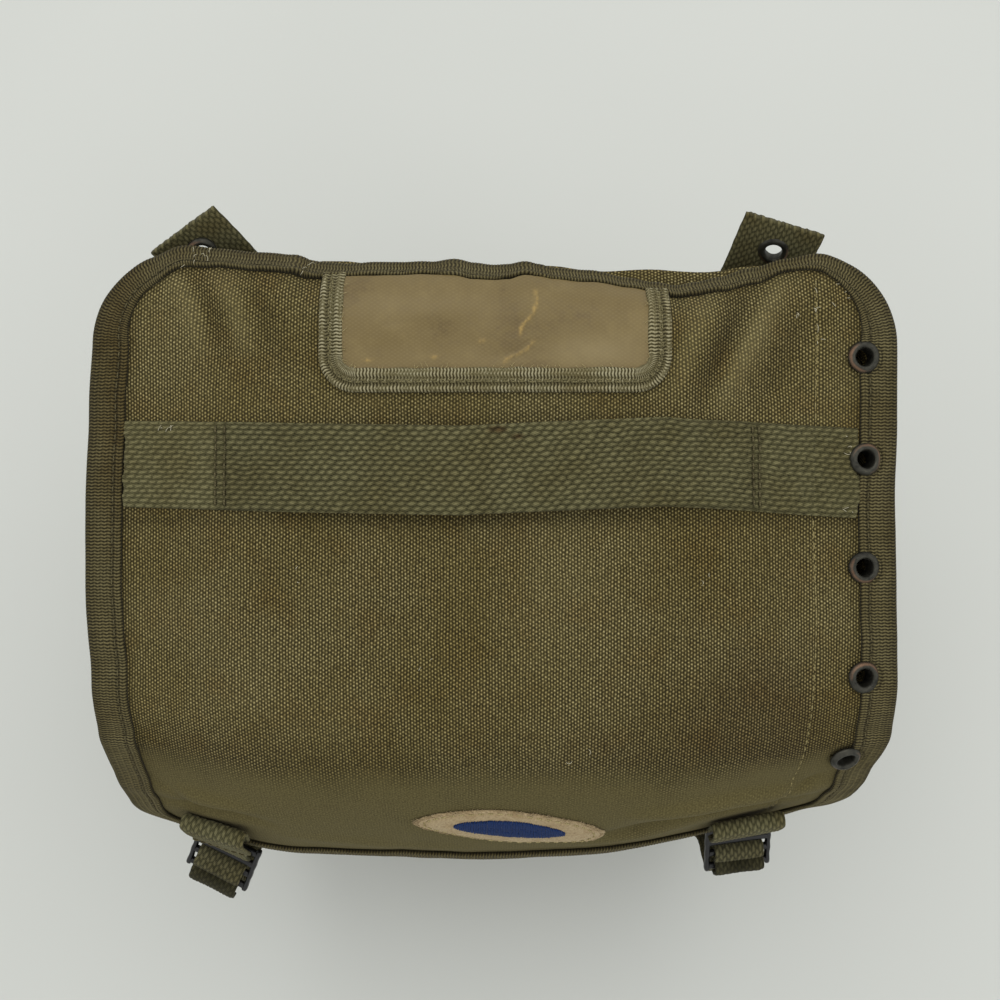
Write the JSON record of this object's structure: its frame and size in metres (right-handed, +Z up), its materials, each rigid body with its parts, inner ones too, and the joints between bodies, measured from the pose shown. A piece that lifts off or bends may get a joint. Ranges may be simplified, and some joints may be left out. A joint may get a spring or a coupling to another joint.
{
  "type": "canvas field pack",
  "caption": "Soft canvas field pack standing on its base, with a tape-bound lid, web carry handle, card window, edge eyelets, back tabs and buckled closing straps.",
  "frame": {"origin": "on the floor under the middle of the pack's overall box", "axes": "+Z up, -Y towards the front where the straps close, +X towards the edge with the eyelets"},
  "size_m": [0.2464, 0.205, 0.2298],
  "materials": {
    "canvas": "worn olive-drab cotton duck",
    "binding_tape": "ribbed cotton tape",
    "webbing": "woven cotton webbing",
    "clear_sheet": "aged, yellowed clear sheet",
    "patch_felt": "tan felt with a plain blue oval",
    "eyelet_metal": "blackened brass, worn at the rims",
    "buckle_metal": "black enamelled steel"
  },
  "bodies": {
    "root": {"front_panel": "canvas", "back_panel": "canvas", "side_left": "canvas", "side_right": "canvas", "base_panel": "canvas", "lid": "canvas", "lid_binding": "binding_tape", "window_binding": "binding_tape", "carry_handle": "webbing", "tab_left": "webbing", "tab_right": "webbing", "buckle_web_left": "webbing", "buckle_web_right": "webbing", "strap_left": "webbing", "strap_right": "webbing", "window_pane": "clear_sheet", "patch": "patch_felt", "eyelet_1": "eyelet_metal", "eyelet_2": "eyelet_metal", "eyelet_3": "eyelet_metal", "eyelet_4": "eyelet_metal", "eyelet_5": "eyelet_metal", "tab_eyelet_left": "eyelet_metal", "tab_eyelet_right": "eyelet_metal", "buckle_left": "buckle_metal", "buckle_right": "buckle_metal"}
  },
  "joints": []
}
